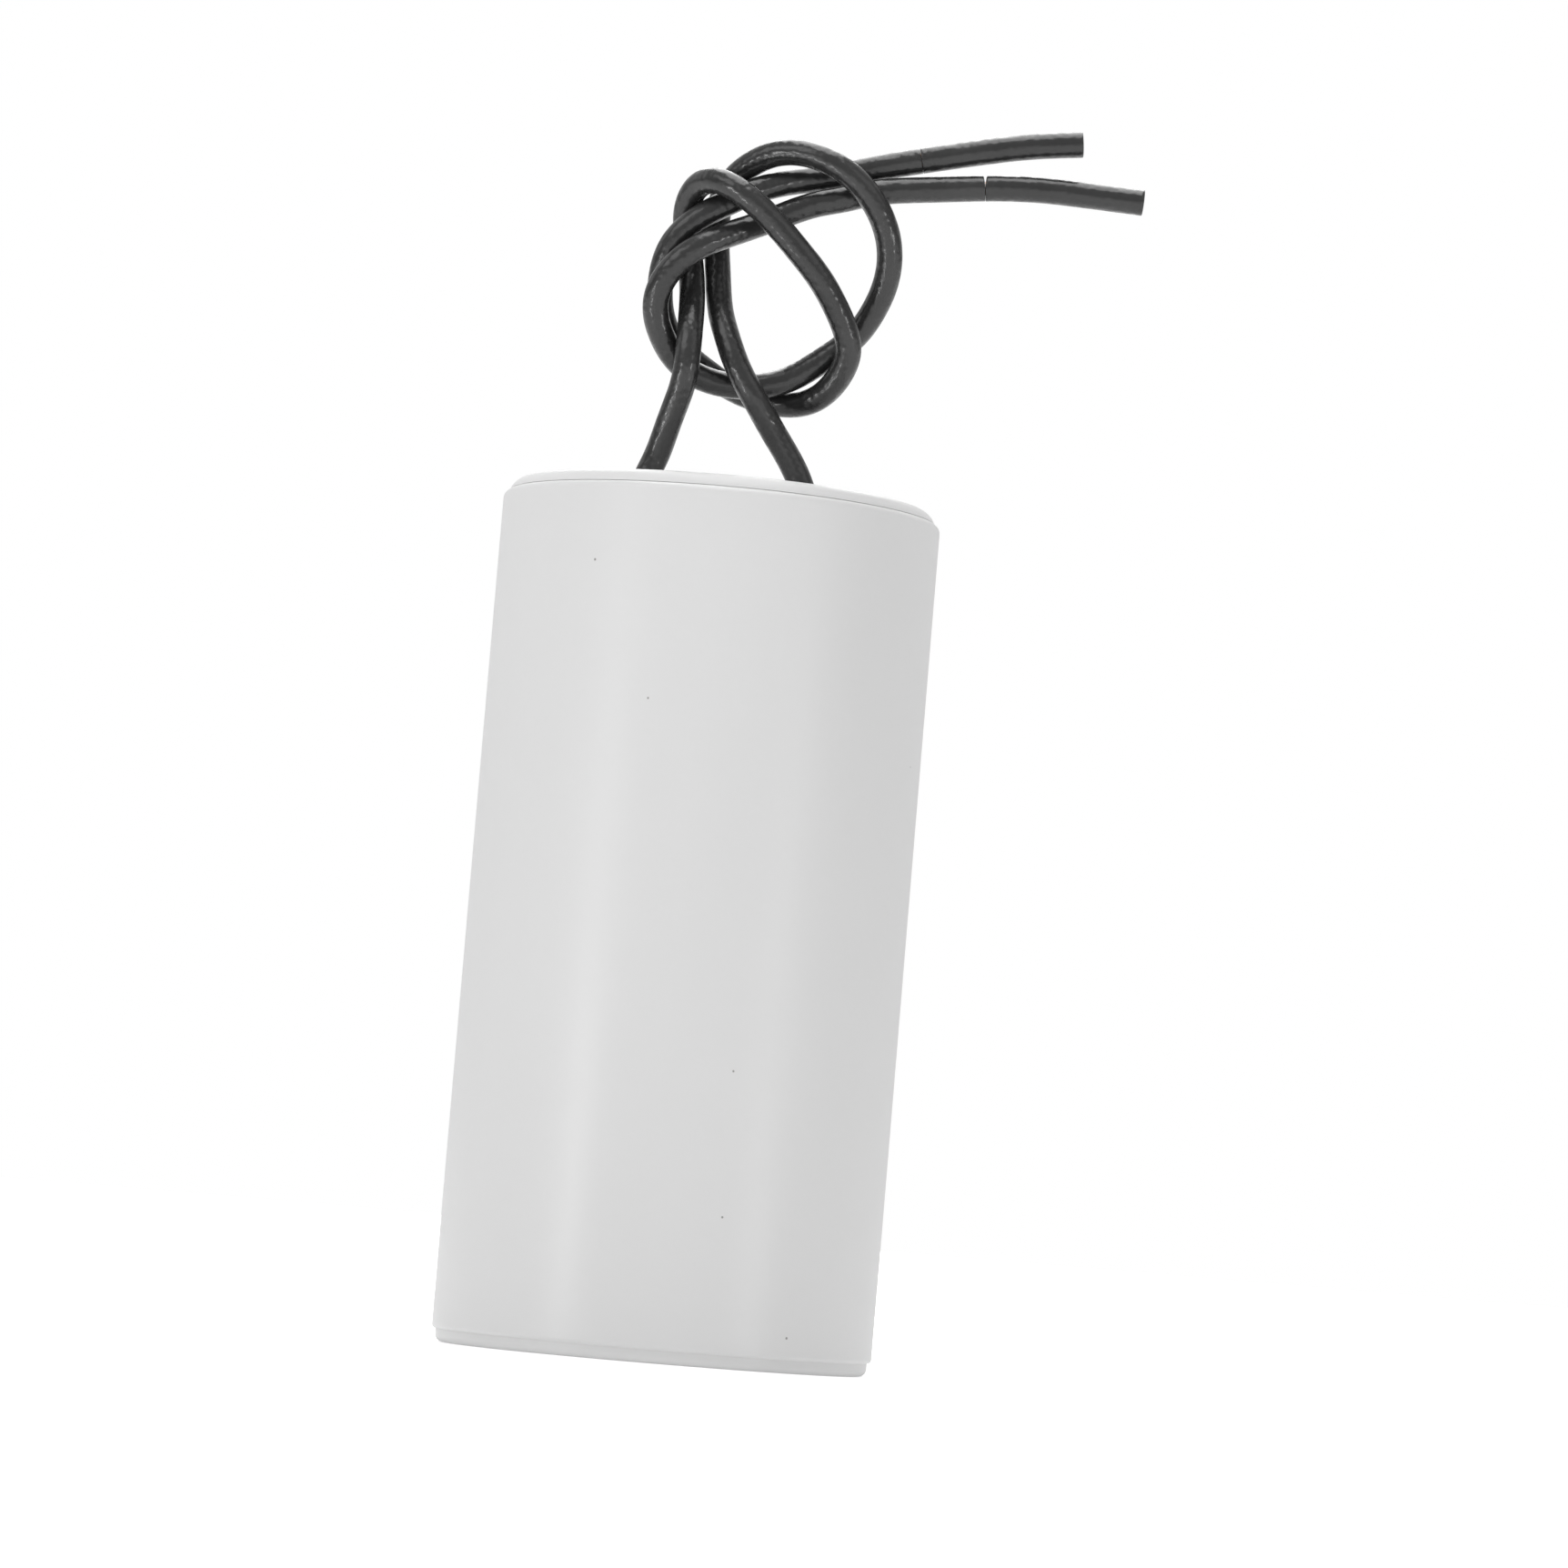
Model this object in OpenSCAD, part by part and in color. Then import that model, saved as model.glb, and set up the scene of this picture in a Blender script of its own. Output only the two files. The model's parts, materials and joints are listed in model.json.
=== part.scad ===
// Motor run capacitor: a round moulded case closed by two press-in covers, a metallised film
// winding potted inside it, and two insulated wire leads tied in an overhand knot.
// Millimetres. +Z runs up the case, and the bottom cover stands on z = 0.

/* [Case] */
// Outside diameter of the case tube
case_od = 37; // [32:0.5:60]
// Height of the case over both covers
case_h = 73; // [60:1:110]
// Wall of the case tube
case_wall = 1.5; // [1:0.1:2]
// Rounding of the tube's outer edges
case_edge_r = 0.7; // [0.2:0.1:0.9]
// Lead-in chamfer at the tube's inner edges
case_chamfer = 0.4; // [0.1:0.1:0.5]

/* [Covers] */
// How far the top cover's rim lies inside the tube's outside
top_rim_inset = 0.4; // [0.1:0.1:0.8]
// Thickness of the top cover's rim
top_rim_t = 1.1; // [0.8:0.1:1.4]
// Rounding of the top cover's rim
top_rim_r = 1.6; // [1:0.1:2]
// How far the bottom cover's rim lies inside the tube's outside
bottom_rim_inset = 0.8; // [0.1:0.1:1]
// Thickness of the bottom cover's rim
bottom_rim_t = 1.1; // [0.8:0.1:1.4]
// Rounding of the bottom cover's rim
bottom_rim_r = 1.35; // [1:0.05:1.8]
// Thickness of the covers' plates
plate_t = 2.3; // [1.8:0.1:3]
// Depth of the covers' skirts inside the tube
skirt_depth = 6; // [4:0.5:6]
// Wall of the covers' skirts
skirt_wall = 1.4; // [1:0.1:2]
// Gap between a skirt and the tube
skirt_gap = 0.25; // [0.15:0.05:0.4]
// Radius of the grip beads round a skirt
bead_r = 0.5; // [0.45:0.05:0.7]
// Number of grip beads on a skirt
bead_count = 2; // [1:1:2]
// Fillet between plate and skirt
skirt_fillet = 0.8; // [0.3:0.1:1.2]
// Diameter of the recess round the bottom cover's moulding gate
gate_d = 4; // [2:0.5:8]
// Depth of that recess
gate_depth = 0.3; // [0.1:0.1:0.6]

/* [Winding] */
// Width of the resin between the wrapped winding and the tube
winding_gap = 2; // [0.8:0.1:3]
// Height of the winding's lower end above the floor
winding_z = 9; // [9:0.5:14]
// Depth of the winding's upper end below the top of the case
winding_headroom = 12; // [11:0.5:20]
// Thickness of the sprayed metal ends
spray_t = 0.6; // [0.4:0.1:0.9]
// Thickness of the film wrapped round the winding
wrap_t = 0.3; // [0.1:0.1:0.5]
// Outside diameter of the winding core
core_od = 8; // [7:0.5:9]
// Bore of the winding core
core_id = 5; // [4:0.5:6]
// Radius of the solder joints
solder_r = 2.6; // [2.2:0.1:3]
// Solder between the bare end and the lower spray
solder_film = 0.1; // [0.05:0.05:0.2]
// Distance from the axis to the lower solder joint
low_joint_x = 8; // [7.5:0.5:9]
// Gap between the resin and the top cover's skirt
resin_headroom = 0.5; // [0.2:0.1:2]

/* [Leads] */
// Distance between the leads where they leave the top cover
lead_pitch = 13.5; // [11:0.5:14]
// Diameter over the insulation
wire_od = 2.2; // [1.6:0.1:2.3]
// Diameter of the stranded conductor
conductor_d = 1.2; // [0.8:0.1:1.3]
// Bare conductor above the upper solder joint
bare_len = 0.8; // [0.3:0.1:2]
// Bare conductor inside the lower end of the winding
bare_rise = 3; // [2:0.5:10]
// Straight of the right lead between the core and the bend above it
bend_rise = 0.5; // [0.2:0.1:0.8]
// Radius of the bend in the right lead's bare foot
foot_bend_r = 1.6; // [1.2:0.1:2]
// Width of the score round the insulation near a free end
score_w = 0.15; // [0.1:0.05:0.3]
// Clearance of a lead in the top cover
hole_clearance = 0.05; // [0.02:0.01:0.15]
// Chamfer at the mouth of a lead hole
hole_chamfer = 0.3; // [0.1:0.1:0.5]

/* [Hidden] */
$fn = 96;

// Gap between bonded pieces inside the case
fit_gap = 0.02;
// Overshoot of a cut past the face that it goes through
over = 1;

case_r = case_od / 2;
bore_r = case_r - case_wall;
tube_z0 = bottom_rim_t;
tube_z1 = case_h - top_rim_t;
skirt_r = bore_r - skirt_gap;
skirt_bore_r = skirt_r - skirt_wall;
skirt_chamfer = skirt_wall / 2;
bead_h = skirt_gap - fit_gap;

core_z0 = winding_z - spray_t;
winding_z1 = case_h - winding_headroom;
core_z1 = winding_z1 + spray_t;
wrap_r = bore_r - winding_gap;
winding_r = wrap_r - wrap_t - fit_gap;
core_r = core_od / 2;
solder_drop = solder_r / 3;
solder_h = solder_r - solder_drop;
resin_z0 = plate_t + fit_gap;
resin_step_z = tube_z0 + skirt_depth + fit_gap;
resin_z1 = tube_z1 - skirt_depth - resin_headroom;

lead_x = lead_pitch / 2;
wire_bore_d = conductor_d + 2 * fit_gap;
// Two quarter bends carry the right lead from its hole to the axis
s_bend_r = lead_x / 2;
s_bend_z0 = core_z1 + bend_rise;
s_bend_z1 = s_bend_z0 + 2 * s_bend_r;
// Its bare foot turns out under the lower spray
foot_z = core_z0 - solder_film - conductor_d / 2;
foot_x = low_joint_x + solder_r / 2;

// Routes of the free leads, from the cover's top face to their free ends. Heights are above that
// face, and each list goes on from two points straight above the lead's hole.
left_points = [
    [-5.8, 0, 3], [-5.1, -1, 6], [-4.1, -2, 9], [-4, -2.5, 11.5], [-4, -1.5, 14],
    [-4, 0.5, 17], [-4.5, 2, 20.5], [-5.5, 1.5, 24], [-4.5, -0.5, 26.5], [-2.5, -3, 26.5],
    [0, -4, 25], [2.5, -3.5, 23], [4.7, -3.5, 20.7], [6.7, -3, 18.7], [8.5, -2, 16],
    [10, -1, 13], [8.5, 0.5, 10], [6.5, 2, 8.5], [3.5, 3.5, 8.5], [0, 4, 9.5],
    [-2.5, 3.5, 11], [-5, 2.5, 12.5], [-6.5, 1.5, 14.5], [-7, 0.5, 17.5], [-6.5, -0.5, 21],
    [-4, -1, 23.5], [-1.5, -0.5, 25], [1, 0, 26.5], [4, 1, 27.5], [7, 1.5, 28],
    [10, 1.5, 29.1], [14.4, 1.5, 30.2], [19, 1, 31.2], [23.5, 1, 32.2], [28, 1, 32.7]];
right_points = [
    [5.5, 0, 3.4], [3.5, -0.5, 6], [1.9, -1.5, 8.4], [0.4, -1.5, 10.4], [-0.9, -0.5, 13.6],
    [-1.7, 1, 16], [-2, 2, 19], [-2.5, 2.5, 22.5], [-2.5, 2, 25.5], [-1, 1, 28],
    [2.1, -0.5, 29.8], [5.5, -2, 29.4], [8.5, -2.5, 28], [11, -2, 25.5], [12.4, -1, 22.5],
    [12.4, 0, 19.5], [11.5, 1, 17], [10.1, 1.5, 14.5], [7.5, 1.5, 12.5], [5, 1.5, 10.5],
    [2, 1, 9.5], [-1.5, 1, 9.5], [-4.5, 0.5, 10.5], [-6.5, -0.5, 13], [-7.5, -1.5, 16],
    [-6, -2.5, 19], [-3.5, -2.5, 21], [-0.5, -1, 22.5], [2.5, 0, 24], [5.5, 0, 25.5],
    [8, 0, 26], [11, 0.5, 27.2], [15.5, 1, 27.7], [20, 0.5, 28.2], [24.5, 0.5, 28.5],
    [29, 0.5, 28.3], [33.5, 0.5, 28.1]];
left_route = route_from(-lead_x, left_points);
right_route = route_from(lead_x, right_points);
// The insulation is scored this many points before the free end
scored_points = 3;
end_rings = 3;
wire_sides = 8;

// Sweeping a wire along its route

function route_from(x, points) = concat([[x, 0, 0], [x, 0, 1]], points);

function last_of(list) = list[len(list) - 1];

// Point i of a route, with one point more at each end so that the curve reaches the ends
function route_point(route, i) =
    i < 0 ? 2 * route[0] - route[1]
    : i >= len(route) ? 2 * last_of(route) - route[len(route) - 2]
    : route[i];

// Place on the smooth curve (a uniform cubic B-spline) at u points from the start
function on_route(route, u) =
    let (i = min(floor(u), len(route) - 2), t = u - i)
    ((1 - t) ^ 3 * route_point(route, i - 1)
    + (3 * t ^ 3 - 6 * t ^ 2 + 4) * route_point(route, i)
    + (-3 * t ^ 3 + 3 * t ^ 2 + 3 * t + 1) * route_point(route, i + 1)
    + t ^ 3 * route_point(route, i + 2)) / 6;

function unit(v) = v / norm(v);

// Direction of the curve at u
function heading(route, u) =
    let (d = 0.01)
    unit(on_route(route, min(u + d, len(route) - 1)) - on_route(route, max(u - d, 0)));

// Turns a side vector with the curve, so that the rings don't twist
function carried(side, direction) = unit(side - (side * direction) * direction);

function sides_along(route, us, i = 0, side = [0, 1, 0]) =
    i >= len(us) ? []
    : let (next = carried(side, heading(route, us[i])))
    concat([next], sides_along(route, us, i + 1, next));

function ring(centre, side, direction, d) =
    let (up = cross(direction, side))
    [for (k = [0 : wire_sides - 1])
        let (a = 360 * k / wire_sides)
        centre + d / 2 * (cos(a) * side + sin(a) * up)];

// Rings at the places us along a route, the first of them moved on by skip
function rings(route, us, d, skip = 0) =
    let (sides = sides_along(route, us))
    [for (i = [0 : len(us) - 1])
        let (direction = heading(route, us[i]))
        ring(on_route(route, us[i]) + (i == 0 ? skip : 0) * direction, sides[i], direction, d)];

function flat(lists) = [for (list = lists) for (item = list) item];

// Faces of the wall between rings, with the first ring's points numbered from base
function wall_faces(count, base = 0) =
    [for (i = [0 : count - 2]) for (k = [0 : wire_sides - 1])
        let (a = base + i * wire_sides + k,
            b = base + i * wire_sides + (k + 1) % wire_sides)
        each [[a, b, b + wire_sides], [a, b + wire_sides, a + wire_sides]]];

function backwards(face) = [for (i = [len(face) - 1 : -1 : 0]) face[i]];

// Solid wire along a route
module wire(route, us, d) {
    count = len(us);
    start_cap = [for (k = [1 : wire_sides]) wire_sides - k];
    end_cap = [for (k = [0 : wire_sides - 1]) (count - 1) * wire_sides + k];
    faces = concat(wall_faces(count), [start_cap, end_cap]);
    translate([0, 0, case_h])
        polyhedron(flat(rings(route, us, d)), [for (face = faces) backwards(face)]);
}

// Sleeve of insulation along a route
module sleeve(route, us, d, bore, skip) {
    count = len(us);
    inner = count * wire_sides;
    last = (count - 1) * wire_sides;
    start_face = [for (k = [0 : wire_sides - 1])
        let (n = (k + 1) % wire_sides)
        each [[k, inner + k, inner + n], [k, inner + n, n]]];
    end_face = [for (k = [0 : wire_sides - 1])
        let (n = (k + 1) % wire_sides)
        each [[last + k, inner + last + n, inner + last + k], [last + k, last + n, inner + last + n]]];
    inner_wall = [for (face = wall_faces(count, inner)) backwards(face)];
    faces = concat(wall_faces(count), inner_wall, start_face, end_face);
    points = concat(flat(rings(route, us, d, skip)), flat(rings(route, us, bore, skip)));
    translate([0, 0, case_h])
        polyhedron(points, [for (face = faces) backwards(face)]);
}

function score_place(route) = len(route) - 1 - scored_points;

// One ring at each point, from the cover to the score
function lead_places(route) = [for (i = [0 : score_place(route)]) i];

// A route's last stretch, from the score to the free end
function end_places(route) =
    [for (k = [0 : end_rings - 1]) score_place(route) + k * scored_points / (end_rings - 1)];

// Profile helpers

// Takes a rounded edge off a profile's outer corner at [x, z]: a top corner if up, or a bottom one
module edge_round(x, z, r, up) {
    translate([x - r, up ? z - r : z + r])
        rotate(up ? 0 : -90)
            difference() {
                square(r + over);
                circle(r);
            }
}

// Wall of a round tube in cross-section
module ring_section(d, bore) {
    difference() {
        circle(d = d);
        circle(d = bore);
    }
}

// Quarter bend in the XZ plane about the origin, starting at this angle from +X
module quarter_bend(r, start) {
    rotate([90, 0, 0])
        rotate([0, 0, start])
            rotate_extrude(angle = 90)
                translate([r, 0])
                    children();
}

// Case

module case_tube() {
    color("whitesmoke")
        rotate_extrude()
            difference() {
                polygon([
                    [bore_r + case_chamfer, tube_z0],
                    [case_r, tube_z0],
                    [case_r, tube_z1],
                    [bore_r + case_chamfer, tube_z1],
                    [bore_r, tube_z1 - case_chamfer],
                    [bore_r, tube_z0 + case_chamfer]]);
                edge_round(case_r, tube_z1, case_edge_r, true);
                edge_round(case_r, tube_z0, case_edge_r, false);
            }
}

// Half section of a press-in cover, with its outer face on z = 0 and its skirt above
module cover_profile(rim_inset, rim_t, rim_r) {
    inner_z = rim_t / 2;
    skirt_end = rim_t + skirt_depth;
    bead_step = skirt_depth / (bead_count + 2);
    difference() {
        square([case_r - rim_inset, rim_t]);
        edge_round(case_r - rim_inset, 0, rim_r, false);
    }
    translate([0, inner_z])
        square([skirt_r, plate_t - inner_z]);
    polygon([
        [skirt_bore_r, inner_z],
        [skirt_r, inner_z],
        [skirt_r, skirt_end - skirt_chamfer],
        [skirt_r - skirt_chamfer, skirt_end],
        [skirt_bore_r, skirt_end]]);
    difference() {
        translate([skirt_bore_r - skirt_fillet, inner_z])
            square([skirt_fillet + skirt_wall / 2, plate_t - inner_z + skirt_fillet]);
        translate([skirt_bore_r - skirt_fillet, plate_t + skirt_fillet])
            circle(skirt_fillet);
    }
    for (i = [1 : bead_count])
        translate([skirt_r + bead_h - bead_r, rim_t + i * bead_step])
            circle(bead_r);
}

module lead_hole(x) {
    hole_r = wire_od / 2 + hole_clearance;
    translate([x, 0, case_h - plate_t - over])
        cylinder(r = hole_r, h = plate_t + 2 * over);
    translate([x, 0, case_h - hole_chamfer])
        cylinder(r1 = hole_r, r2 = hole_r + hole_chamfer + over, h = hole_chamfer + over);
}

module top_cover() {
    color("white")
        difference() {
            translate([0, 0, case_h])
                mirror([0, 0, 1])
                    rotate_extrude()
                        cover_profile(top_rim_inset, top_rim_t, top_rim_r);
            lead_hole(-lead_x);
            lead_hole(lead_x);
        }
}

module bottom_cover() {
    color("white")
        difference() {
            rotate_extrude()
                cover_profile(bottom_rim_inset, bottom_rim_t, bottom_rim_r);
            translate([0, 0, -over])
                cylinder(d = gate_d, h = gate_depth + over);
        }
}

// Winding and filling

module film_winding() {
    color("gainsboro")
        rotate_extrude()
            translate([core_r + fit_gap, winding_z])
                square([winding_r - core_r - fit_gap, winding_z1 - winding_z]);
}

module winding_core() {
    color("ivory")
        rotate_extrude()
            translate([core_id / 2, core_z0])
                square([core_r - core_id / 2, core_z1 - core_z0]);
}

module winding_wrap() {
    color("khaki")
        rotate_extrude()
            translate([winding_r + fit_gap, core_z0])
                square([wrap_t, core_z1 - core_z0]);
}

module end_spray(z) {
    color("darkgray")
        rotate_extrude()
            translate([core_r + fit_gap, z])
                square([winding_r - core_r - fit_gap, spray_t]);
}

module top_end_spray() {
    end_spray(winding_z1);
}

module bottom_end_spray() {
    end_spray(core_z0);
}

// Cap of solder standing on z = 0
module solder_cap(grow) {
    rotate_extrude()
        intersection() {
            translate([0, -solder_drop])
                circle(solder_r + grow);
            square(solder_r + over);
        }
}

module top_solder_place() {
    translate([-lead_x, 0, core_z1])
        children();
}

module bottom_solder_place() {
    translate([low_joint_x, 0, core_z0])
        mirror([0, 0, 1])
            children();
}

module top_solder_joint() {
    color("silver")
        difference() {
            top_solder_place()
                solder_cap(0);
            left_conductor_path(wire_bore_d, over);
        }
}

module bottom_solder_joint() {
    color("silver")
        difference() {
            bottom_solder_place()
                solder_cap(0);
            foot_path(wire_bore_d, fit_gap);
        }
}

module potting_resin() {
    color("dimgray")
        difference() {
            rotate_extrude()
                difference() {
                    polygon([
                        [0, resin_z0],
                        [skirt_bore_r - fit_gap, resin_z0],
                        [skirt_bore_r - fit_gap, resin_step_z],
                        [bore_r - fit_gap, resin_step_z],
                        [bore_r - fit_gap, resin_z1],
                        [0, resin_z1]]);
                    edge_round(skirt_bore_r - fit_gap, resin_z0, skirt_fillet, false);
                    translate([core_id / 2 - fit_gap, core_z0 - fit_gap])
                        square([wrap_r - core_id / 2 + 2 * fit_gap, core_z1 - core_z0 + 2 * fit_gap]);
                }
            top_solder_place()
                solder_cap(fit_gap);
            bottom_solder_place()
                solder_cap(fit_gap);
            left_tail_path(fit_gap)
                circle(d = wire_od + 2 * fit_gap);
            left_conductor_path(wire_bore_d, 0);
            right_tail_path(winding_z + bare_rise - fit_gap)
                circle(d = wire_od + 2 * fit_gap);
            foot_path(wire_bore_d, fit_gap);
        }
}

// Leads inside the case

module left_tail_path(extra) {
    z0 = core_z1 + solder_h + bare_len;
    translate([-lead_x, 0, z0 - extra])
        linear_extrude(case_h - z0 + extra)
            children();
}

module left_conductor_path(d, extra) {
    translate([-lead_x, 0, core_z1 - extra])
        cylinder(d = d, h = case_h - core_z1 + extra);
}

// Section carried from the right hole through the two bends and down the core to z0
module right_tail_path(z0) {
    translate([lead_x, 0, s_bend_z1])
        linear_extrude(case_h - s_bend_z1)
            children();
    translate([s_bend_r, 0, s_bend_z1])
        quarter_bend(s_bend_r, 270)
            children();
    translate([s_bend_r, 0, s_bend_z0])
        quarter_bend(s_bend_r, 90)
            children();
    translate([0, 0, z0])
        linear_extrude(s_bend_z0 - z0)
            children();
}

// Bare foot that leaves the core and turns out along the lower spray
module foot_path(d, extra) {
    translate([0, 0, foot_z + foot_bend_r])
        cylinder(d = d, h = winding_z + bare_rise - foot_z - foot_bend_r);
    translate([foot_bend_r, 0, foot_z + foot_bend_r])
        quarter_bend(foot_bend_r, 180)
            circle(d = d);
    translate([foot_bend_r, 0, foot_z])
        rotate([0, 90, 0])
            cylinder(d = d, h = foot_x - foot_bend_r + extra);
}

module left_lead_tail() {
    color("black")
        left_tail_path(0)
            ring_section(wire_od, wire_bore_d);
}

module left_tail_conductor() {
    color("peru")
        left_conductor_path(conductor_d, 0);
}

module right_lead_tail() {
    color("black")
        right_tail_path(winding_z + bare_rise)
            ring_section(wire_od, wire_bore_d);
}

module right_tail_conductor() {
    color("peru") {
        right_tail_path(winding_z + bare_rise)
            circle(d = conductor_d);
        foot_path(conductor_d, 0);
    }
}

// Leads outside the case

module left_lead() {
    color("black")
        wire(left_route, lead_places(left_route), wire_od);
}

module left_end_conductor() {
    color("peru")
        wire(left_route, end_places(left_route), conductor_d);
}

module left_end_slug() {
    color("black")
        sleeve(left_route, end_places(left_route), wire_od, wire_bore_d, score_w);
}

module right_lead() {
    color("black")
        wire(right_route, lead_places(right_route), wire_od);
}

module right_end_conductor() {
    color("peru")
        wire(right_route, end_places(right_route), conductor_d);
}

module right_end_slug() {
    color("black")
        sleeve(right_route, end_places(right_route), wire_od, wire_bore_d, score_w);
}

case_tube();
top_cover();
bottom_cover();
potting_resin();
film_winding();
winding_core();
winding_wrap();
top_end_spray();
bottom_end_spray();
top_solder_joint();
bottom_solder_joint();
left_lead_tail();
left_tail_conductor();
right_lead_tail();
right_tail_conductor();
left_lead();
left_end_conductor();
left_end_slug();
right_lead();
right_end_conductor();
right_end_slug();
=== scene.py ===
import json
import math
import bmesh
import bpy
from mathutils import Matrix, Vector, noise


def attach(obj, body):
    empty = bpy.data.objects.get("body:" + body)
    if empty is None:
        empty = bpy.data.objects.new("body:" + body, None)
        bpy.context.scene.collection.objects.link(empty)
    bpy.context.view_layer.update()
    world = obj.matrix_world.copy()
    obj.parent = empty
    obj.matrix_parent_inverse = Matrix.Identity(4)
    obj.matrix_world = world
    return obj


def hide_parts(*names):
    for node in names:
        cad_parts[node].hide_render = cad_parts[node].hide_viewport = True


MM = 0.001
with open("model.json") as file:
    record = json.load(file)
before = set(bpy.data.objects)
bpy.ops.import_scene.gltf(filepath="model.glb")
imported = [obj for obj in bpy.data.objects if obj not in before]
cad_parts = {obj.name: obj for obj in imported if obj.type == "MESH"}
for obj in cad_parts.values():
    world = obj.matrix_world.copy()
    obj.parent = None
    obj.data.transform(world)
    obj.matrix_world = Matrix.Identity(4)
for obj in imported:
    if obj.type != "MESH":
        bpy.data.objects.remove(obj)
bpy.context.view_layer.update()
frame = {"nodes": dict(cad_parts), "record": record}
scene = bpy.context.scene

# Sizes in millimetres, as in part.scad, apart from the bottom cover's rim and the tube's edge above it
CASE_R, CASE_H, BORE_R = 18.5, 73.0, 17.0
EDGE_R, LOW_EDGE_R, CHAMFER = 0.7, 0.35, 0.4
RIM_T, PLATE_T, SKIRT_DEPTH, SKIRT_WALL = 1.1, 2.3, 6.0, 1.4
SKIRT_R, BEAD_COUNT, BEAD_H, BEAD_R, SKIRT_FILLET = 16.75, 2, 0.23, 0.5, 0.8
TOP_RIM_R, TOP_ROUND = 18.1, 1.6
BOTTOM_RIM_R, BOTTOM_ROUND = 18.15, 0.65
LEAD_X, WIRE_R, CONDUCTOR_R, WIRE_BORE_R = 6.75, 1.1, 0.6, 0.62
HOLE_R, HOLE_CHAMFER = 1.15, 0.3
GATE_R, GATE_DEPTH, GATE_EDGE = 2.0, 0.3, 0.1
END_ROUND = 0.06  # rounding of the wires' cut ends
OVER = 1  # how far a cutter goes past a face

# Routes of the leads above the cover's top face, in millimetres, as in part.scad
LEFT_POINTS = [
    [-5.8, 0, 3], [-5.1, -1, 6], [-4.1, -2, 9], [-4, -2.5, 11.5], [-4, -1.5, 14],
    [-4, 0.5, 17], [-4.5, 2, 20.5], [-5.5, 1.5, 24], [-4.5, -0.5, 26.5], [-2.5, -3, 26.5],
    [0, -4, 25], [2.5, -3.5, 23], [4.7, -3.5, 20.7], [6.7, -3, 18.7], [8.5, -2, 16],
    [10, -1, 13], [8.5, 0.5, 10], [6.5, 2, 8.5], [3.5, 3.5, 8.5], [0, 4, 9.5],
    [-2.5, 3.5, 11], [-5, 2.5, 12.5], [-6.5, 1.5, 14.5], [-7, 0.5, 17.5], [-6.5, -0.5, 21],
    [-4, -1, 23.5], [-1.5, -0.5, 25], [1, 0, 26.5], [4, 1, 27.5], [7, 1.5, 28],
    [10, 1.5, 29.1], [14.4, 1.5, 30.2], [19, 1, 31.2], [23.5, 1, 32.2], [28, 1, 32.7]]
RIGHT_POINTS = [
    [5.5, 0, 3.4], [3.5, -0.5, 6], [1.9, -1.5, 8.4], [0.4, -1.5, 10.4], [-0.9, -0.5, 13.6],
    [-1.7, 1, 16], [-2, 2, 19], [-2.5, 2.5, 22.5], [-2.5, 2, 25.5], [-1, 1, 28],
    [2.1, -0.5, 29.8], [5.5, -2, 29.4], [8.5, -2.5, 28], [11, -2, 25.5], [12.4, -1, 22.5],
    [12.4, 0, 19.5], [11.5, 1, 17], [10.1, 1.5, 14.5], [7.5, 1.5, 12.5], [5, 1.5, 10.5],
    [2, 1, 9.5], [-1.5, 1, 9.5], [-4.5, 0.5, 10.5], [-6.5, -0.5, 13], [-7.5, -1.5, 16],
    [-6, -2.5, 19], [-3.5, -2.5, 21], [-0.5, -1, 22.5], [2.5, 0, 24], [5.5, 0, 25.5],
    [8, 0, 26], [11, 0.5, 27.2], [15.5, 1, 27.7], [20, 0.5, 28.2], [24.5, 0.5, 28.5],
    [29, 0.5, 28.3], [33.5, 0.5, 28.1]]
SCORED_POINTS = 3


# Camera

def add_camera():
    yaw, pitch, roll = (math.radians(a) for a in (1.277, 3.787, 4.796))
    forward = Vector((math.sin(yaw) * math.cos(pitch), math.cos(yaw) * math.cos(pitch), math.sin(pitch)))
    right = Vector((math.cos(yaw), -math.sin(yaw), 0))
    up = right.cross(forward)
    across = math.cos(roll) * right + math.sin(roll) * up
    above = -math.sin(roll) * right + math.cos(roll) * up
    data = bpy.data.cameras.new("camera")
    data.sensor_width, data.lens = 36, 152.7
    data.clip_start, data.clip_end = 0.01, 50
    camera = bpy.data.objects.new("camera", data)
    turn = Matrix((across, above, -forward)).transposed().to_4x4()
    camera.matrix_world = Matrix.Translation(Vector((-5.33, -560, 12.03)) * MM) @ turn
    scene.collection.objects.link(camera)
    scene.camera = camera


add_camera()


# Mesh helpers

def add_mesh(name, points, faces, smooth_angle=35):
    """Mesh object from points in millimetres, smooth where faces meet at less than an angle in degrees."""
    mesh = bpy.data.meshes.new(name)
    mesh.from_pydata([tuple(c * MM for c in p) for p in points], [], faces)
    mesh.validate()
    made = bmesh.new()
    made.from_mesh(mesh)
    bmesh.ops.recalc_face_normals(made, faces=made.faces)
    made.to_mesh(mesh)
    made.free()
    mesh.shade_smooth()
    mesh.set_sharp_from_angle(angle=math.radians(smooth_angle))
    obj = bpy.data.objects.new(name, mesh)
    scene.collection.objects.link(obj)
    return obj


def arc(x, z, r, start, end, steps):
    """Points of an arc about (x, z), angles in degrees from +X."""
    angles = [math.radians(start + (end - start) * i / steps) for i in range(steps + 1)]
    return [(x + r * math.cos(a), z + r * math.sin(a)) for a in angles]


def line(a, b, steps):
    """Points from a towards b, without b."""
    return [(a[0] + (b[0] - a[0]) * i / steps, a[1] + (b[1] - a[1]) * i / steps) for i in range(steps)]


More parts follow.
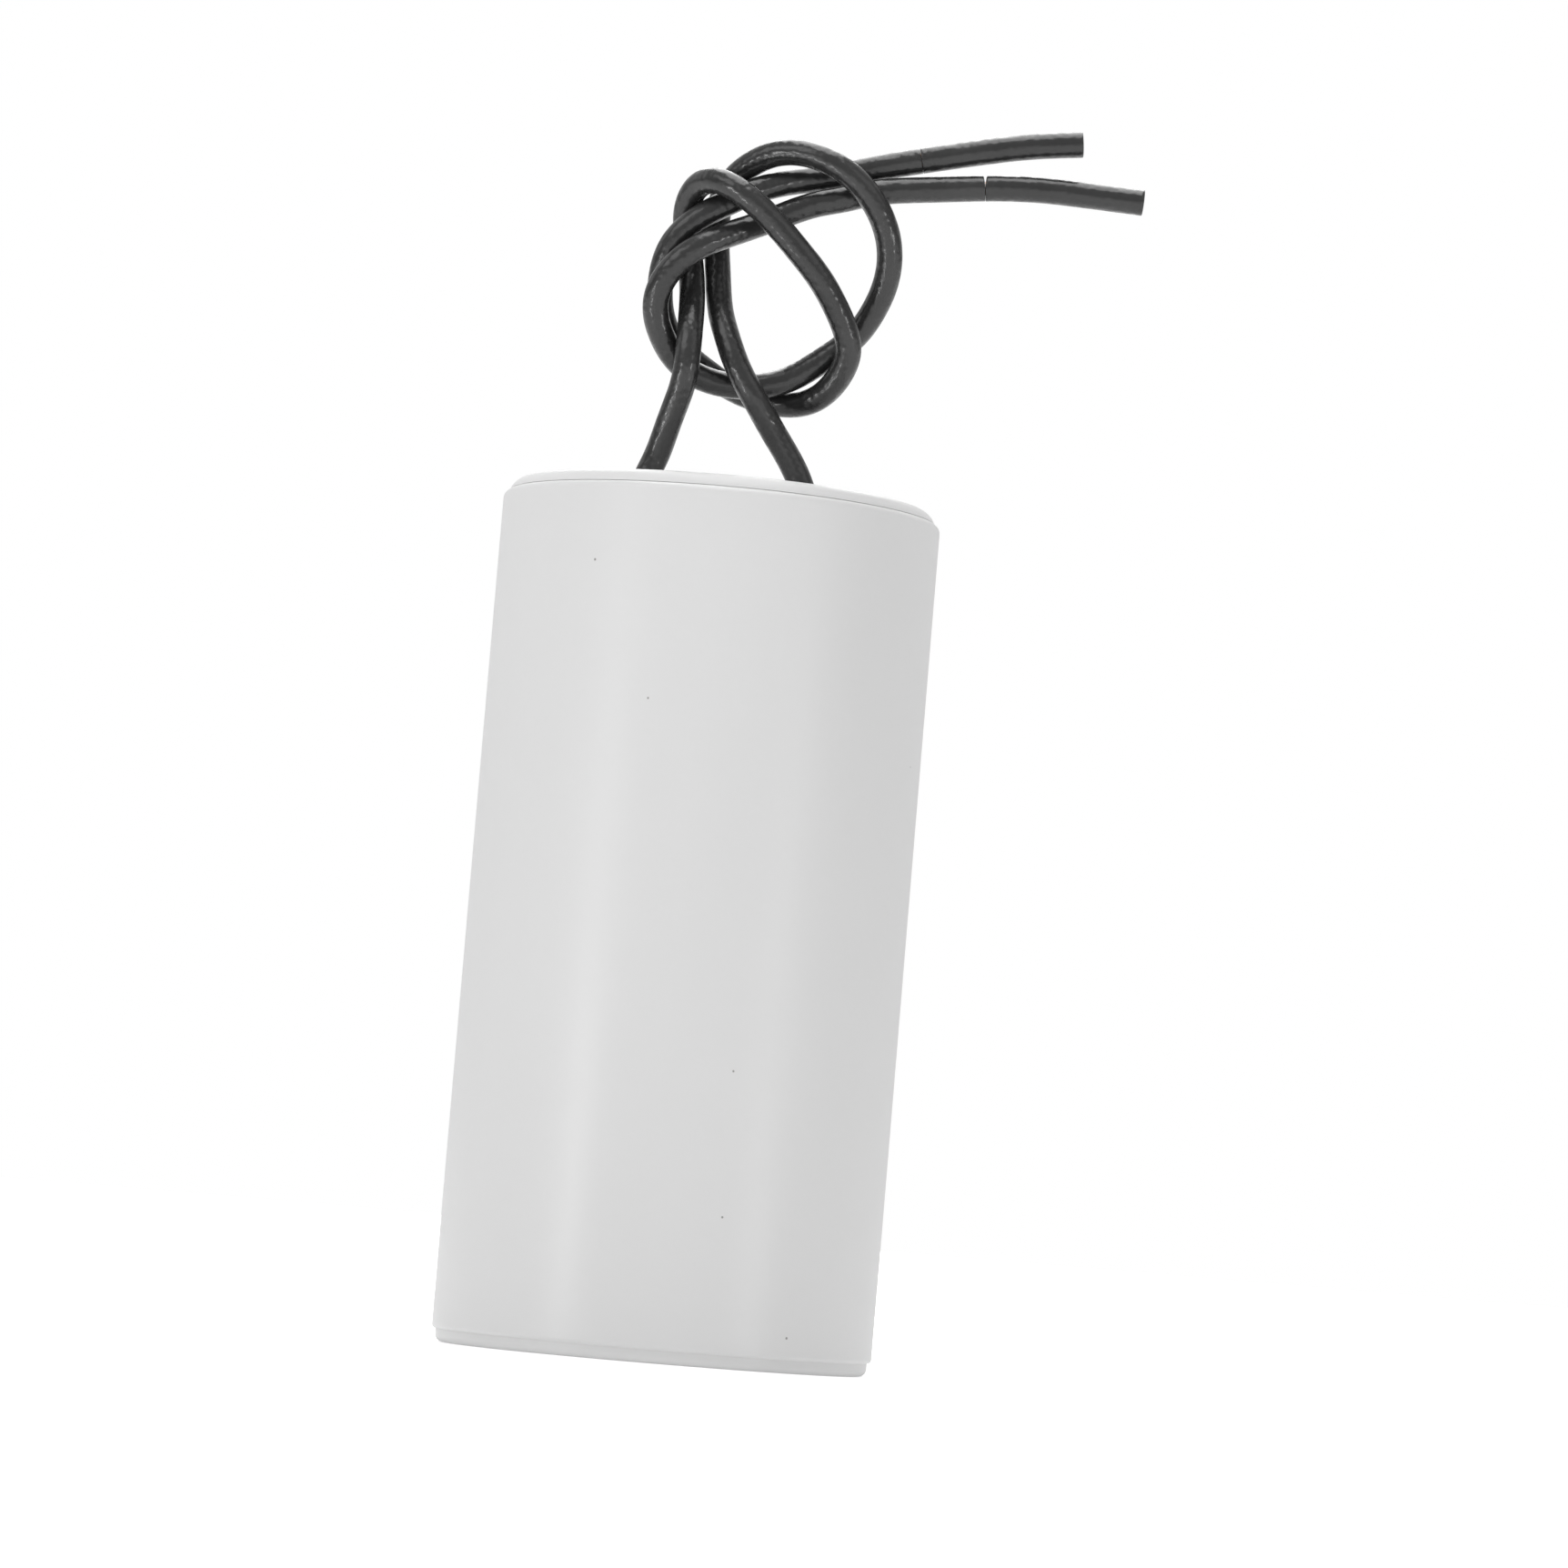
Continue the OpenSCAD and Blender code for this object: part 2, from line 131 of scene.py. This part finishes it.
def lathe(name, profile, segments=288):
    """Turns a closed profile of (radius, height) round Z. A point on the axis becomes one vertex."""
    points, rows = [], []
    for r, z in profile:
        if r < 1e-6:
            rows.append([len(points)] * segments)
            points.append((0, 0, z))
            continue
        rows.append(list(range(len(points), len(points) + segments)))
        for k in range(segments):
            a = 2 * math.pi * k / segments
            points.append((r * math.cos(a), r * math.sin(a), z))
    faces = []
    for low, high in zip(rows, rows[1:] + rows[:1]):
        for k in range(segments):
            n = (k + 1) % segments
            face = [low[k], low[n], high[n], high[k]]
            face = [v for i, v in enumerate(face) if v not in face[:i]]
            if len(face) > 2:
                faces.append(face)
    return add_mesh(name, points, faces)


# The smooth curve of a route: a uniform cubic B-spline that starts and ends on its end points

def on_route(route, u):
    i = min(int(u), len(route) - 2)
    t = u - i

    def point(n):
        if n < 0:
            return 2 * route[0] - route[1]
        if n >= len(route):
            return 2 * route[-1] - route[-2]
        return route[n]

    return ((1 - t) ** 3 * point(i - 1) + (3 * t ** 3 - 6 * t ** 2 + 4) * point(i)
            + (-3 * t ** 3 + 3 * t ** 2 + 3 * t + 1) * point(i + 1) + t ** 3 * point(i + 2)) / 6


def centres(route, start, end, step):
    """Points a fixed step apart along a route, between two places given in points from its start."""
    count = int((end - start) * 40)  # 40 fine steps from one point to the next
    fine = [on_route(route, start + (end - start) * i / count) for i in range(count + 1)]
    far = [0.0]
    for a, b in zip(fine, fine[1:]):
        far.append(far[-1] + (b - a).length)
    wanted, out, k = max(4, round(far[-1] / step)), [], 0
    for n in range(wanted + 1):
        s = far[-1] * n / wanted
        while k < count - 1 and far[k + 1] < s:
            k += 1
        t = (s - far[k]) / (far[k + 1] - far[k])
        out.append(fine[k].lerp(fine[k + 1], min(1, max(0, t))))
    return out


def frames(path):
    """Side and up vectors at each point, carried along so that they don't twist."""
    side, out = Vector((0, 1, 0)), []
    for i in range(len(path)):
        d = (path[min(i + 1, len(path) - 1)] - path[max(i - 1, 0)]).normalized()
        side = (side - side.dot(d) * d).normalized()
        out.append((side.copy(), d.cross(side), d))
    return out


def tube(name, path, radius, gapes, seed, bore=0):
    """Wire, or a sleeve if it has a bore, along a path. gapes moves the faces of its ends along the wire."""
    axes, sides, lump = frames(path), 32, 0.006
    # Each cut end is rounded off a little: rings of growing radius close to the end
    ends = [(radius - END_ROUND, 0), (radius - END_ROUND * 0.3, END_ROUND * 0.3), (radius, END_ROUND)]
    points, rows = [], []

    def add_ring(i, r, shift, end=None):
        side, up, d = axes[i]
        row = []
        for k in range(sides):
            a = 2 * math.pi * k / sides
            out = math.cos(a) * side + math.sin(a) * up
            lumps = 1 + lump * noise.noise((path[i] + out * radius) * 0.9 + Vector((seed, 0, 0)))
            p = path[i] + out * r * (lumps if r > bore else 1) + d * shift
            if end:
                p += d * gapes[end](out.z * r / radius)
            row.append(len(points))
            points.append(p)
        rows.append(row)

    last = len(path) - 1
    for r, s in ends:
        add_ring(0, r, s, "start")
    for i in range(1, last):
        add_ring(i, radius, 0)
    for r, s in reversed(ends):
        add_ring(last, r, -s, "end")
    faces = []
    if bore:
        add_ring(last, bore, 0, "end")
        for i in range(last - 1, 0, -1):
            add_ring(i, bore, 0)
        add_ring(0, bore, 0, "start")
        pairs = list(zip(rows, rows[1:] + rows[:1]))
    else:
        pairs = list(zip(rows, rows[1:]))
        for row, end in ((rows[0], "start"), (rows[-1], "end")):
            i = 0 if end == "start" else last
            points.append(path[i])
            faces += [[len(points) - 1, row[k], row[(k + 1) % sides]] for k in range(sides)]
    for low, high in pairs:
        faces += [[low[k], low[(k + 1) % sides], high[(k + 1) % sides], high[k]] for k in range(sides)]
    return add_mesh(name, points, faces, 50)


def strands(name, path, bundle_r):
    """A conductor of 19 fine strands laid round each other along a path, all but touching."""
    turns, sides = 1.2, 10
    thin = bundle_r / 5
    spots = [(0, 0)]
    spots += [(2 * thin, k / 6) for k in range(6)]
    spots += [(3.98 * thin, (k + 0.5) / 12) for k in range(12)]
    axes, points, faces = frames(path), [], []
    for spot_r, spot_turn in spots:
        rows = []
        for i, p in enumerate(path):
            side, up, _ = axes[i]
            a = 2 * math.pi * (spot_turn + turns * i / (len(path) - 1))
            centre = p + spot_r * (math.cos(a) * side + math.sin(a) * up)
            rows.append([])
            for k in range(sides):
                b = 2 * math.pi * k / sides
                rows[-1].append(len(points))
                points.append(centre + thin * 0.985 * (math.cos(b) * side + math.sin(b) * up))
        for low, high in zip(rows, rows[1:]):
            faces += [[low[k], low[(k + 1) % sides], high[(k + 1) % sides], high[k]] for k in range(sides)]
        faces += [rows[0][::-1], rows[-1]]
    return add_mesh(name, points, faces, 50)


# Leads

def build_lead(side, x, route_points, gapes, seed):
    route = [Vector(p) for p in [[x, 0, 0], [x, 0, 1]] + route_points]
    for p in route:
        p.z += CASE_H
    score = len(route) - 1 - SCORED_POINTS
    lead_path = centres(route, 0, score, 0.3)
    end_path = centres(route, score, len(route) - 1, 0.3)
    lead = tube(side + "_lead_insulation", lead_path, WIRE_R, gapes[0], seed)
    slug = tube(side + "_scored_end", end_path, WIRE_R, gapes[1], seed, WIRE_BORE_R)
    conductor = strands(side + "_end_strands", end_path, CONDUCTOR_R)
    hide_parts(side + "_lead")
    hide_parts(side + "_end_slug")
    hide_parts(side + "_end_conductor")
    for piece, slot in ((lead, "lead_insulation"), (slug, "lead_insulation"), (conductor, "copper_strand")):
        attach(piece, "root")
    return lead, slug, conductor


def still(_):
    return 0.0


def cut(width_top, width_bottom):
    """Half the width of a cut across the wire, from its top (+1) to its bottom (-1)."""
    return lambda h: (width_bottom + (width_top - width_bottom) * max(0, h) ** 1.5) / 2


def back_off(move):
    return lambda h: -move(h)


left_cut, right_cut = cut(0.05, 0.02), cut(0.3, 0.02)
left = build_lead("left", -LEAD_X, LEFT_POINTS,
                  ({"start": still, "end": back_off(left_cut)}, {"start": left_cut, "end": still}), 3)
right = build_lead("right", LEAD_X, RIGHT_POINTS,
                   ({"start": still, "end": back_off(right_cut)}, {"start": right_cut, "end": still}), 8)


# Case tube and covers

def tube_profile():
    """Section of the tube's wall. Points along its straight sides keep the quads short."""
    low, high = RIM_T, CASE_H - RIM_T
    outer = arc(CASE_R - LOW_EDGE_R, low + LOW_EDGE_R, LOW_EDGE_R, -90, 0, 10)
    outer += line((CASE_R, low + LOW_EDGE_R + 0.3), (CASE_R, high - EDGE_R - 0.3), 60)
    outer += [(CASE_R, high - EDGE_R - 0.3)]
    outer += arc(CASE_R - EDGE_R, high - EDGE_R, EDGE_R, 0, 90, 10)
    return [(BORE_R + CHAMFER, low)] + outer + [
        (BORE_R + CHAMFER, high), (BORE_R, high - CHAMFER)] + line(
        (BORE_R, high - CHAMFER - 1), (BORE_R, low + CHAMFER + 1), 12) + [(BORE_R, low + CHAMFER)]


def cover_profile(rim_r, rounding):
    """Half section of a press-in cover with its outer face at 0 and its skirt above."""
    inner_r = SKIRT_R - SKIRT_WALL
    centre_r = rim_r - rounding
    # A large rounding stops at the parting line, before it reaches the vertical
    stop = math.degrees(math.asin(max(0, rounding - RIM_T) / rounding))
    rim = arc(centre_r, rounding, rounding, -90, -stop, 14)
    if rounding < RIM_T:
        rim.append((rim_r, RIM_T))
    end = RIM_T + SKIRT_DEPTH
    wall = [(SKIRT_R, RIM_T)]
    reach = math.degrees(math.acos((BEAD_R - BEAD_H) / BEAD_R))
    for i in range(1, BEAD_COUNT + 1):
        z = RIM_T + i * SKIRT_DEPTH / (BEAD_COUNT + 2)
        wall += arc(SKIRT_R + BEAD_H - BEAD_R, z, BEAD_R, -reach, reach, 8)
    chamfer = SKIRT_WALL / 2
    wall += [(SKIRT_R, end - chamfer), (SKIRT_R - chamfer, end), (inner_r, end)]
    inside = arc(inner_r - SKIRT_FILLET, PLATE_T + SKIRT_FILLET, SKIRT_FILLET, 0, -90, 8)
    # Points across the flat faces keep their quads short
    return [(0, 0), (5, 0), (10, 0), (14, 0)] + rim + wall + inside + [(8, PLATE_T), (0, PLATE_T)]


def cut_holes(obj, cutters):
    for cutter in cutters:
        step = obj.modifiers.new("cut", "BOOLEAN")
        step.operation, step.solver, step.object = "DIFFERENCE", "EXACT", cutter
    cut_mesh = bpy.data.meshes.new_from_object(obj.evaluated_get(bpy.context.evaluated_depsgraph_get()))
    obj.modifiers.clear()
    obj.data = cut_mesh
    cut_mesh.shade_smooth()
    cut_mesh.set_sharp_from_angle(angle=math.radians(35))
    for cutter in cutters:
        bpy.data.objects.remove(cutter)


def hole_cutter(x):
    low, high = CASE_H - PLATE_T - OVER, CASE_H + OVER
    cutter = lathe("hole_cutter", [
        (0, low), (HOLE_R, low), (HOLE_R, CASE_H - HOLE_CHAMFER), (HOLE_R + HOLE_CHAMFER + OVER, high),
        (0, high)], 64)
    cutter.data.transform(Matrix.Translation((x * MM, 0, 0)))
    return cutter


case = lathe("case_shell", tube_profile())
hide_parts("case_tube")

lid = lathe("lid", [(r, CASE_H - z) for r, z in cover_profile(TOP_RIM_R, TOP_ROUND)])
cut_holes(lid, [hole_cutter(-LEAD_X), hole_cutter(LEAD_X)])
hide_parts("top_cover")

base = lathe("base_cover", cover_profile(BOTTOM_RIM_R, BOTTOM_ROUND))
gate = lathe("gate_cutter", [
    (0, -OVER), (GATE_R + GATE_EDGE, -OVER), (GATE_R, GATE_DEPTH - GATE_EDGE),
    (GATE_R - GATE_EDGE, GATE_DEPTH), (0, GATE_DEPTH)], 64)
cut_holes(base, [gate])
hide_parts("bottom_cover")
for piece, slot in ((case, "case_plastic"), (lid, "cover_plastic"), (base, "cover_plastic")):
    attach(piece, "root")


# Materials

class Nodes:
    """Builds one node material. Lengths in textures are in metres of object space."""

    def __init__(self, name, **sockets):
        self.material = bpy.data.materials.new(name)
        self.material.use_nodes = True
        self.tree = self.material.node_tree
        self.shader = self.tree.nodes["Principled BSDF"]
        self.place = self.tree.nodes.new("ShaderNodeTexCoord").outputs["Object"]
        for key, value in sockets.items():
            self.shader.inputs[key.replace("_", " ")].default_value = value

    def link(self, source, target):
        self.tree.links.new(source, target)

    def noise(self, size, detail=3.0, rough=0.5, place=None):
        node = self.tree.nodes.new("ShaderNodeTexNoise")
        node.inputs["Scale"].default_value = 1 / size
        node.inputs["Detail"].default_value = detail
        node.inputs["Roughness"].default_value = rough
        self.link(place or self.place, node.inputs["Vector"])
        return node.outputs["Fac"]

    def stretched(self, scale):
        node = self.tree.nodes.new("ShaderNodeMapping")
        node.inputs["Scale"].default_value = scale
        self.link(self.place, node.inputs["Vector"])
        return node.outputs["Vector"]

    def spread(self, value, low, high, to_low, to_high):
        node = self.tree.nodes.new("ShaderNodeMapRange")
        for key, number in zip(("From Min", "From Max", "To Min", "To Max"), (low, high, to_low, to_high)):
            node.inputs[key].default_value = number
        self.link(value, node.inputs["Value"])
        return node.outputs["Result"]

    def math(self, operation, a, b):
        node = self.tree.nodes.new("ShaderNodeMath")
        node.operation = operation
        for socket, value in zip(node.inputs, (a, b)):
            if isinstance(value, (int, float)):
                socket.default_value = value
            else:
                self.link(value, socket)
        return node.outputs[0]

    def colours(self, value, *stops):
        node = self.tree.nodes.new("ShaderNodeValToRGB")
        ramp = node.color_ramp
        while len(ramp.elements) < len(stops):
            ramp.elements.new(0.5)
        for element, (at, colour) in zip(ramp.elements, stops):
            element.position, element.color = at, (*colour, 1)
        self.link(value, node.inputs["Fac"])
        return node.outputs["Color"]

    def bump(self, height, distance):
        node = self.tree.nodes.new("ShaderNodeBump")
        node.inputs["Strength"].default_value = 1.0
        node.inputs["Distance"].default_value = distance
        self.link(height, node.inputs["Height"])
        for key in ("Normal", "Coat Normal"):
            self.link(node.outputs["Normal"], self.shader.inputs[key])

    def to(self, key, value):
        self.link(value, self.shader.inputs[key])


def grey(level):
    return (level, level, level)


def moulded_plastic(name, level, gloss, specks):
    """White moulded plastic: faint flow marks, a satin skin and a few dark specks."""
    m = Nodes(name, IOR=1.5, Metallic=0.0, Specular_IOR_Level=gloss)
    flow = m.noise(0.02, 2, place=m.stretched((1, 1, 0.25)))
    fine = m.noise(0.0009, 2)
    tone = m.colours(flow, (0.3, grey(level * 0.985)), (0.7, grey(level * 1.015)))
    dark = None
    for x, y, z, r in specks:
        off = m.tree.nodes.new("ShaderNodeVectorMath")
        off.operation = "DISTANCE"
        m.link(m.place, off.inputs[0])
        off.inputs[1].default_value = (x * MM, y * MM, z * MM)
        spot = m.spread(off.outputs["Value"], r * MM * 0.5, r * MM, 1, 0)
        dark = spot if dark is None else m.math("MAXIMUM", dark, spot)
    if dark is None:
        m.to("Base Color", tone)
    else:
        mix = m.tree.nodes.new("ShaderNodeMix")
        mix.data_type = "RGBA"
        m.link(dark, mix.inputs["Factor"])
        m.link(tone, mix.inputs["A"])
        mix.inputs["B"].default_value = (0.28, 0.28, 0.27, 1)
        m.to("Base Color", mix.outputs["Result"])
    m.to("Roughness", m.spread(flow, 0.3, 0.7, 0.32, 0.38))
    m.bump(m.math("ADD", fine, m.math("MULTIPLY", m.noise(0.006, 2), 2.0)), 0.000012)
    return m.material


def black_vinyl():
    """The wires' insulation: dusty black vinyl under a coat of fine glossy pimples."""
    m = Nodes("black_vinyl", IOR=1.5, Metallic=0.0, Coat_Weight=1.0, Coat_Roughness=0.24, Coat_IOR=1.6,
              Specular_IOR_Level=0.05)
    dust = m.noise(0.004, 4)
    pimples = m.noise(0.0005, 0)
    m.to("Base Color", m.colours(dust, (0.3, grey(0.016)), (0.7, grey(0.025))))
    m.to("Roughness", m.spread(pimples, 0.35, 0.65, 0.35, 0.55))
    m.bump(m.math("ADD", pimples, m.noise(0.002, 1)), 0.00005)
    return m.material


def metal(name, colour, dark, rough, grain, depth):
    m = Nodes(name, Metallic=1.0)
    texture = m.noise(grain, 4, 0.6)
    m.to("Base Color", m.colours(texture, (0.3, dark), (0.7, colour)))
    m.to("Roughness", m.spread(texture, 0.3, 0.7, rough - 0.08, rough + 0.08))
    m.bump(texture, depth)
    return m.material


def cast_resin():
    m = Nodes("cast_resin", IOR=1.55)
    filler = m.noise(0.0006, 4, 0.7)
    m.to("Base Color", m.colours(filler, (0.35, grey(0.09)), (0.65, grey(0.15))))
    m.to("Roughness", m.spread(filler, 0.3, 0.7, 0.2, 0.4))
    m.bump(m.noise(0.003, 2), 0.00003)
    return m.material


def wound_film():
    """Metallised film seen edge on: fine rings about the core."""
    m = Nodes("wound_film", Metallic=0.7)
    rings = m.tree.nodes.new("ShaderNodeTexWave")
    rings.wave_type, rings.rings_direction = "RINGS", "Z"
    rings.inputs["Scale"].default_value = 2500
    rings.inputs["Distortion"].default_value = 1.5
    m.link(m.place, rings.inputs["Vector"])
    m.to("Base Color", m.colours(rings.outputs["Fac"], (0, (0.6, 0.61, 0.63)), (1, (0.8, 0.81, 0.83))))
    m.to("Roughness", m.spread(rings.outputs["Fac"], 0, 1, 0.25, 0.4))
    m.bump(rings.outputs["Fac"], 0.00001)
    return m.material


def plain_plastic(name, colour, rough, grain):
    m = Nodes(name, IOR=1.48)
    tone = m.noise(grain, 3)
    m.to("Base Color", m.colours(tone, (0.3, tuple(c * 0.94 for c in colour)), (0.7, colour)))
    m.to("Roughness", m.spread(tone, 0.3, 0.7, rough - 0.05, rough + 0.05))
    m.bump(tone, 0.00001)
    return m.material


# Specks moulded into the case: x, y, z and radius in millimetres
SPECKS = [
    (-10.2, -15.4, 65.2, 0.14), (-4.9, -17.8, 54.0, 0.12), (4.6, -17.9, 24.2, 0.12),
    (4.7, -17.9, 12.3, 0.12), (10.8, -15.0, 2.9, 0.14), (14.2, 11.9, 40.0, 0.13),
    (-15.9, 9.5, 22.0, 0.12), (-6.0, 17.5, 50.0, 0.13), (17.4, -6.2, 51.0, 0.1), (7.5, 16.9, 12.0, 0.14)]
finishes = {
    "case_plastic": moulded_plastic("satin_case", 0.74, 0.5, SPECKS),
    "cover_plastic": moulded_plastic("satin_cover", 0.74, 0.25, []),
    "lead_insulation": black_vinyl(),
    "copper_strand": metal("bare_copper", (0.74, 0.45, 0.3), (0.5, 0.27, 0.17), 0.3, 0.0005, 0.00001),
    "resin": cast_resin(),
    "metallised_film": wound_film(),
    "core_plastic": plain_plastic("core_plastic", (0.86, 0.84, 0.76), 0.45, 0.003),
    "wrap_film": plain_plastic("wrap_film", (0.74, 0.66, 0.4), 0.2, 0.008),
    "zinc_spray": metal("sprayed_zinc", (0.55, 0.56, 0.58), (0.32, 0.33, 0.35), 0.6, 0.0004, 0.00012),
    "solder": metal("solder", (0.7, 0.71, 0.73), (0.55, 0.56, 0.58), 0.25, 0.0015, 0.00003)}


def put(obj, material):
    obj.data.materials.clear()
    obj.data.materials.append(material)


put(case, finishes["case_plastic"])
put(lid, finishes["cover_plastic"])
put(base, finishes["cover_plastic"])
for lead, slug, conductor in (left, right):
    put(lead, finishes["lead_insulation"])
    put(slug, finishes["lead_insulation"])
    put(conductor, finishes["copper_strand"])
for part in frame["record"]["subparts"]:
    for place in frame["nodes"][part["node"]].material_slots:
        place.material = finishes[part["material_slot"]]


# Floor, light and view

def add_floor():
    """A white floor that glows a little, more so away from the object, and fully as the camera sees it."""
    floor = lathe("floor", [(0, -0.02), (60, -0.02), (300, -0.02), (4000, -0.02), (4000, -5), (0, -5)], 64)
    m = Nodes("white_floor", Roughness=0.9, Specular_IOR_Level=0.1, Emission_Color=(1, 1, 1, 1))
    m.to("Base Color", m.colours(m.noise(0.05, 2), (0.3, grey(0.74)), (0.7, grey(0.76))))
    away = m.tree.nodes.new("ShaderNodeVectorMath")
    away.operation = "LENGTH"
    m.link(m.place, away.inputs[0])
    seen = m.tree.nodes.new("ShaderNodeLightPath").outputs["Is Camera Ray"]
    glow = m.spread(away.outputs["Value"], 0.03, 0.6, 0.26, 0.4)
    white = m.math("MULTIPLY", seen, m.spread(away.outputs["Value"], 0.02, 0.1, 0.3, 1.0))
    m.to("Emission Strength", m.math("ADD", glow, white))
    put(floor, m.material)


def add_lamp(name, place, target, power, size):
    """A rectangular light at a place, aimed at a target, in metres and watts."""
    data = bpy.data.lights.new(name, "AREA")
    data.energy, data.shape = power, "RECTANGLE"
    data.size, data.size_y = size
    light = bpy.data.objects.new(name, data)
    aim = (target - place).to_track_quat("-Z", "Y")
    light.matrix_world = Matrix.Translation(place) @ aim.to_matrix().to_4x4()
    scene.collection.objects.link(light)


def add_light(name, around, above, power, size):
    """A soft light 0.6 m from the object, at angles from the front and above the level, in degrees."""
    a, e = math.radians(around), math.radians(above)
    target, distance = Vector((0, 0, 0.05)), 0.6
    off = Vector((math.sin(a) * math.cos(e), -math.cos(a) * math.cos(e), math.sin(e)))
    add_lamp(name, target + distance * off, target, power, size)


def add_surroundings(front, back, above, even):
    """A white studio, seen fully white. It lights the object evenly, and more from front, back and top."""
    world = bpy.data.worlds.new("studio")
    world.use_nodes = True
    tree = world.node_tree
    background = tree.nodes["Background"]
    background.inputs["Color"].default_value = (1, 1, 1, 1)
    axes = tree.nodes.new("ShaderNodeSeparateXYZ")
    tree.links.new(tree.nodes.new("ShaderNodeTexCoord").outputs["Generated"], axes.inputs["Vector"])

    def share(axis, strength):
        node = tree.nodes.new("ShaderNodeMath")
        node.operation, node.use_clamp = "MULTIPLY", True
        tree.links.new(axes.outputs[axis], node.inputs[0])
        node.inputs[1].default_value = strength
        return node.outputs[0]

    def add(a, b):
        node = tree.nodes.new("ShaderNodeMath")
        tree.links.new(a, node.inputs[0])
        if isinstance(b, float):
            node.inputs[1].default_value = b
        else:
            tree.links.new(b, node.inputs[1])
        return node.outputs[0]

    light = add(add(add(share("Y", -front), share("Y", back)), share("Z", above)), even)
    seen = tree.nodes.new("ShaderNodeMix")
    tree.links.new(tree.nodes.new("ShaderNodeLightPath").outputs["Is Camera Ray"], seen.inputs["Factor"])
    tree.links.new(light, seen.inputs["A"])
    seen.inputs["B"].default_value = 1
    tree.links.new(seen.outputs["Result"], background.inputs["Strength"])
    scene.world = world


add_floor()
add_surroundings(0.22, 0.5, 0.2, 0.2)
add_light("key", -50, 38, 0.47, (0.36, 0.3))
add_light("fill", 50, 35, 0.14, (0.36, 0.3))
add_light("top", 0, 108, 3.7, (0.35, 1.2))
add_light("low_key", -50, -3, 0.24, (0.09, 0.03))
add_lamp("glint", Vector((-0.125, -0.143, 0.002)), Vector((-0.125, -0.143, 1)), 0.05, (0.016, 0.016))
add_light("low_fill", 48, -3, 0.19, (0.05, 0.03))
add_light("left_edge", -105, 30, 0.08, (0.2, 0.3))
scene.view_settings.view_transform = "Standard"
